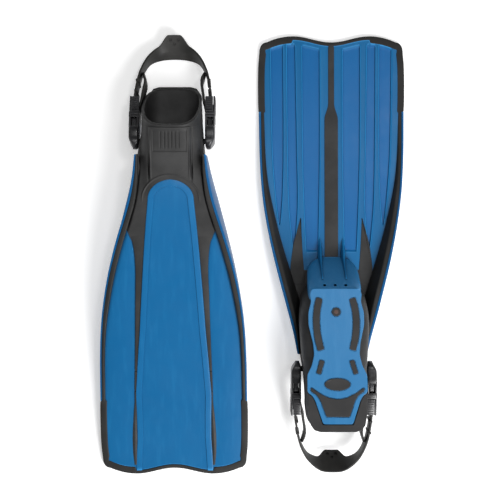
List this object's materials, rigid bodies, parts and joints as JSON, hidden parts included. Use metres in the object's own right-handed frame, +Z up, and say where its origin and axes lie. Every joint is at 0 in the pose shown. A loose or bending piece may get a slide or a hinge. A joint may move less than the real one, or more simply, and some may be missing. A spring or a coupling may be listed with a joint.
{
  "type": "swim fins",
  "caption": "Pair of open-heel swim fins with rubber foot pockets, a stiff ribbed blade, swinging heel straps and squeeze-release side buckles.",
  "frame": {"origin": "the middle of the pair's footprint, on the floor", "axes": "+Z up, +Y from the sole-down fin's blade tip towards its heel, +X from the sole-down fin towards the sole-up fin"},
  "size_m": [0.4512, 0.6532, 0.1053],
  "materials": {
    "blade_plastic": "satin",
    "sole_plastic": "satin",
    "soft_rubber": "matte",
    "grip_rubber": "matte",
    "strap_rubber": "satin",
    "buckle_plastic": "satin",
    "bar_steel": "brushed"
  },
  "bodies": {
    "finA": {"finA_blade": "blade_plastic", "finA_rail_right": "blade_plastic", "finA_rail_left": "blade_plastic", "finA_rubber_edge": "soft_rubber", "finA_flex_leg_right": "soft_rubber", "finA_flex_leg_left": "soft_rubber", "finA_centre_stripe": "soft_rubber", "finA_foot_pocket": "soft_rubber", "finA_sole_frame": "sole_plastic", "finA_heel_bumper": "grip_rubber", "finA_heel_pad_centre": "grip_rubber", "finA_toe_grip_right": "grip_rubber", "finA_toe_grip_left": "grip_rubber", "finA_arch_grip_right": "grip_rubber", "finA_arch_grip_left": "grip_rubber", "finA_heel_grip_oval": "grip_rubber", "finA_sole_plug": "grip_rubber"},
    "finA_socket_left": {"finA_buckle_socket_left": "buckle_plastic"},
    "finA_socket_right": {"finA_buckle_socket_right": "buckle_plastic"},
    "finA_strap": {"finA_heel_strap": "strap_rubber", "finA_buckle_clip_left": "buckle_plastic", "finA_strap_bar_left": "bar_steel", "finA_buckle_clip_right": "buckle_plastic", "finA_strap_bar_right": "bar_steel"},
    "finA_button_upper_left": {"finA_button_upper_left": "buckle_plastic"},
    "finA_button_lower_left": {"finA_button_lower_left": "buckle_plastic"},
    "finA_lever_left": {"finA_strap_lever_left": "buckle_plastic"},
    "finA_button_upper_right": {"finA_button_upper_right": "buckle_plastic"},
    "finA_button_lower_right": {"finA_button_lower_right": "buckle_plastic"},
    "finA_lever_right": {"finA_strap_lever_right": "buckle_plastic"},
    "finB": {"finB_blade": "blade_plastic", "finB_rail_right": "blade_plastic", "finB_rail_left": "blade_plastic", "finB_rubber_edge": "soft_rubber", "finB_flex_leg_right": "soft_rubber", "finB_flex_leg_left": "soft_rubber", "finB_centre_stripe": "soft_rubber", "finB_foot_pocket": "soft_rubber", "finB_sole_frame": "sole_plastic", "finB_heel_bumper": "grip_rubber", "finB_heel_pad_centre": "grip_rubber", "finB_toe_grip_right": "grip_rubber", "finB_toe_grip_left": "grip_rubber", "finB_arch_grip_right": "grip_rubber", "finB_arch_grip_left": "grip_rubber", "finB_heel_grip_oval": "grip_rubber", "finB_sole_plug": "grip_rubber"},
    "finB_socket_left": {"finB_buckle_socket_left": "buckle_plastic"},
    "finB_socket_right": {"finB_buckle_socket_right": "buckle_plastic"},
    "finB_strap": {"finB_heel_strap": "strap_rubber", "finB_buckle_clip_left": "buckle_plastic", "finB_strap_bar_left": "bar_steel", "finB_buckle_clip_right": "buckle_plastic", "finB_strap_bar_right": "bar_steel"},
    "finB_button_upper_left": {"finB_button_upper_left": "buckle_plastic"},
    "finB_button_lower_left": {"finB_button_lower_left": "buckle_plastic"},
    "finB_lever_left": {"finB_strap_lever_left": "buckle_plastic"},
    "finB_button_upper_right": {"finB_button_upper_right": "buckle_plastic"},
    "finB_button_lower_right": {"finB_button_lower_right": "buckle_plastic"},
    "finB_lever_right": {"finB_strap_lever_right": "buckle_plastic"}
  },
  "joints": [
    {"name": "finA_swing_left", "type": "hinge", "parent": "finA", "child": "finA_socket_left", "pos_m": [-0.1685, 0.16325, 0.05017], "axis": [1, 0, 0], "range_deg": [-40.5, 104.5]},
    {"name": "finA_swing_right", "type": "hinge", "parent": "finA", "child": "finA_socket_right", "pos_m": [-0.0645, 0.16325, 0.05017], "axis": [1, 0, 0], "range_deg": [-40.5, 104.5]},
    {"name": "finA_strap_release", "type": "slide", "parent": "finA_socket_left", "child": "finA_strap", "axis": [0, 0.9588, -0.284], "range_m": [0, 0.024]},
    {"name": "finA_press_upper_left", "type": "slide", "parent": "finA_strap", "child": "finA_button_upper_left", "axis": [0, -0.284, -0.9588], "range_m": [0, 0.0022]},
    {"name": "finA_press_lower_left", "type": "slide", "parent": "finA_strap", "child": "finA_button_lower_left", "axis": [0, 0.284, 0.9588], "range_m": [0, 0.0022]},
    {"name": "finA_lever_open_left", "type": "hinge", "parent": "finA_strap", "child": "finA_lever_left", "pos_m": [-0.177, 0.20467, 0.0379], "axis": [0, 0.284, 0.9588], "range_deg": [0, 32]},
    {"name": "finA_press_upper_right", "type": "slide", "parent": "finA_strap", "child": "finA_button_upper_right", "axis": [0, -0.284, -0.9588], "range_m": [0, 0.0022]},
    {"name": "finA_press_lower_right", "type": "slide", "parent": "finA_strap", "child": "finA_button_lower_right", "axis": [0, 0.284, 0.9588], "range_m": [0, 0.0022]},
    {"name": "finA_lever_open_right", "type": "hinge", "parent": "finA_strap", "child": "finA_lever_right", "pos_m": [-0.056, 0.20467, 0.0379], "axis": [0, -0.284, -0.9588], "range_deg": [0, 32]},
    {"name": "finB_swing_left", "type": "hinge", "parent": "finB", "child": "finB_socket_left", "pos_m": [0.0645, -0.16453, 0.04099], "axis": [1, 0, 0], "range_deg": [-73.6, 71.4]},
    {"name": "finB_swing_right", "type": "hinge", "parent": "finB", "child": "finB_socket_right", "pos_m": [0.1685, -0.16453, 0.04099], "axis": [1, 0, 0], "range_deg": [-73.6, 71.4]},
    {"name": "finB_strap_release", "type": "slide", "parent": "finB_socket_left", "child": "finB_strap", "axis": [0, -0.9932, -0.116], "range_m": [0, 0.024]},
    {"name": "finB_press_upper_left", "type": "slide", "parent": "finB_strap", "child": "finB_button_upper_left", "axis": [0, -0.116, 0.9932], "range_m": [0, 0.0022]},
    {"name": "finB_press_lower_left", "type": "slide", "parent": "finB_strap", "child": "finB_button_lower_left", "axis": [0, 0.116, -0.9932], "range_m": [0, 0.0022]},
    {"name": "finB_lever_open_left", "type": "hinge", "parent": "finB_strap", "child": "finB_lever_left", "pos_m": [0.056, -0.20743, 0.03598], "axis": [0, 0.116, -0.9932], "range_deg": [0, 32]},
    {"name": "finB_press_upper_right", "type": "slide", "parent": "finB_strap", "child": "finB_button_upper_right", "axis": [0, -0.116, 0.9932], "range_m": [0, 0.0022]},
    {"name": "finB_press_lower_right", "type": "slide", "parent": "finB_strap", "child": "finB_button_lower_right", "axis": [0, 0.116, -0.9932], "range_m": [0, 0.0022]},
    {"name": "finB_lever_open_right", "type": "hinge", "parent": "finB_strap", "child": "finB_lever_right", "pos_m": [0.177, -0.20743, 0.03598], "axis": [0, -0.116, 0.9932], "range_deg": [0, 32]},
    {"name": "fins_apart", "type": "slide", "parent": "finA", "child": "finB", "axis": [1, 0, 0], "range_m": [0, 0.1]}
  ],
  "couplings": [
    {"joint": "finA_swing_right", "follows": "finA_swing_left", "ratio": 1},
    {"joint": "finA_press_lower_left", "follows": "finA_press_upper_left", "ratio": 1},
    {"joint": "finA_press_lower_right", "follows": "finA_press_upper_right", "ratio": 1},
    {"joint": "finB_swing_right", "follows": "finB_swing_left", "ratio": 1},
    {"joint": "finB_press_lower_left", "follows": "finB_press_upper_left", "ratio": 1},
    {"joint": "finB_press_lower_right", "follows": "finB_press_upper_right", "ratio": 1}
  ]
}
